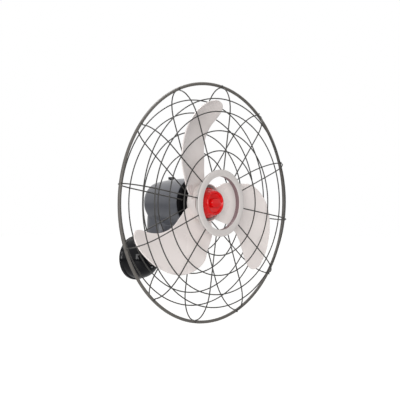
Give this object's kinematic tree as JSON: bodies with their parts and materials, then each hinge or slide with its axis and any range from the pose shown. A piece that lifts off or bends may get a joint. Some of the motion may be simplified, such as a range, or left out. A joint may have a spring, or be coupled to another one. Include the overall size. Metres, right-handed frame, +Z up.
{
  "type": "wall mounted fan",
  "caption": "Wall-mounted oscillating fan: wire-guarded swept-blade propeller on a motor head that tilts on a wall arm and swings side to side.",
  "frame": {"origin": "centre of the wall plate's back face, on the wall", "axes": "+Z up, +Y into the wall, so the fan blows towards -Y; +X to the right as seen by someone facing the wall"},
  "size_m": [0.6084, 0.3165, 0.6084],
  "materials": {
    "canopy_black": "gloss black moulded plastic",
    "arm_black": "satin dark paint on cast arm",
    "zinc_steel": "zinc-plated steel",
    "small_screws": "dark zinc-plated screws",
    "cast_grey": "semi-gloss grey paint on cast aluminium",
    "cast_bare": "bare die casting",
    "cover_black": "satin black paint on pressed steel",
    "knob_black": "black moulded plastic",
    "guard_wire": "dark taupe-grey powder coat on steel wire",
    "ring_plastic": "light grey moulded plastic",
    "blade_plastic": "semi-gloss warm light grey moulded plastic",
    "nut_red": "glossy red moulded plastic",
    "shaft_steel": "bright machined steel",
    "core_steel": "varnished lamination steel",
    "winding": "lacquered copper winding, modelled solid",
    "bronze": "sintered bronze",
    "nylon": "natural nylon",
    "capacitor_case": "black moulded case"
  },
  "bodies": {
    "wall_mount": {"wall_plate": "zinc_steel", "wall_canopy": "canopy_black", "wall_arm": "arm_black", "arm_bolt_1": "zinc_steel", "arm_bolt_2": "zinc_steel", "arm_bolt_3": "zinc_steel", "canopy_screw": "small_screws", "tilt_bolt": "zinc_steel", "tilt_nut": "zinc_steel", "tilt_washer_1": "zinc_steel", "tilt_washer_2": "zinc_steel"},
    "tilt_bracket": {"tilt_bracket": "cast_grey", "swivel_pin": "shaft_steel", "thrust_washer": "nylon", "link_arm": "shaft_steel", "link_arm_screw": "shaft_steel", "link_pin": "shaft_steel"},
    "link": {"crank_link": "shaft_steel"},
    "head": {"motor_housing": "cast_grey", "neck_plate": "bronze", "neck_screw_1": "small_screws", "neck_screw_2": "small_screws", "neck_screw_3": "small_screws", "motor_front_cover": "cover_black", "motor_rear_bracket": "cast_bare", "stator_core": "core_steel", "winding_front": "winding", "winding_rear": "winding", "front_bearing": "bronze", "rear_bearing": "bronze", "worm_bearing": "bronze", "through_bolt_1": "shaft_steel", "through_bolt_2": "shaft_steel", "through_bolt_3": "shaft_steel", "through_bolt_4": "shaft_steel", "gear_case": "cast_bare", "case_screw_1": "shaft_steel", "case_screw_2": "shaft_steel", "capacitor": "capacitor_case", "guard_rear": "guard_wire", "guard_front": "guard_wire", "guard_centre_ring": "ring_plastic", "guard_back_ring": "ring_plastic", "ring_screw_1": "small_screws", "ring_screw_2": "small_screws", "ring_screw_3": "small_screws", "ring_screw_4": "small_screws"},
    "propeller": {"motor_shaft": "shaft_steel", "drive_pin": "shaft_steel", "motor_rotor": "core_steel", "worm": "bronze", "propeller": "blade_plastic", "spinner_nut": "nut_red"},
    "worm_wheel": {"worm_wheel": "nylon"},
    "knob": {"clutch_spindle": "shaft_steel", "oscillation_knob": "knob_black"},
    "crank": {"crank_gear": "nylon", "crank": "shaft_steel"}
  },
  "joints": [
    {"name": "head_tilt", "type": "hinge", "parent": "wall_mount", "child": "tilt_bracket", "pos_m": [0, -0.1, 0.012], "axis": [1, 0, 0], "range_deg": [-10, 25]},
    {"name": "head_swivel", "type": "hinge", "parent": "tilt_bracket", "child": "head", "pos_m": [0, -0.1, 0.06], "axis": [0, 0, 1], "range_deg": [-40, 40]},
    {"name": "propeller_spin", "type": "hinge", "parent": "head", "child": "propeller", "pos_m": [0, -0.268, 0.15], "axis": [0, 1, 0], "continuous": true},
    {"name": "worm_wheel_spin", "type": "hinge", "parent": "head", "child": "worm_wheel", "pos_m": [0.0172, -0.1205, 0.15], "axis": [0, 0, 1], "continuous": true},
    {"name": "knob_slide", "type": "slide", "parent": "worm_wheel", "child": "knob", "axis": [0, 0, 1], "range_m": [0, 0.005]},
    {"name": "crank_spin", "type": "hinge", "parent": "head", "child": "crank", "pos_m": [0, -0.11455, 0.1], "axis": [0, 0, 1], "continuous": true},
    {"name": "link_swing", "type": "hinge", "parent": "tilt_bracket", "child": "link", "pos_m": [0.012, -0.1, 0.0786], "axis": [0, 0, 1], "range_deg": [-26, 26]}
  ],
  "couplings": [
    {"joint": "worm_wheel_spin", "follows": "propeller_spin", "ratio": 0.033333},
    {"joint": "crank_spin", "follows": "propeller_spin", "ratio": -0.0083333},
    {"joint": "link_swing", "follows": "head_swivel", "ratio": 0.63}
  ]
}
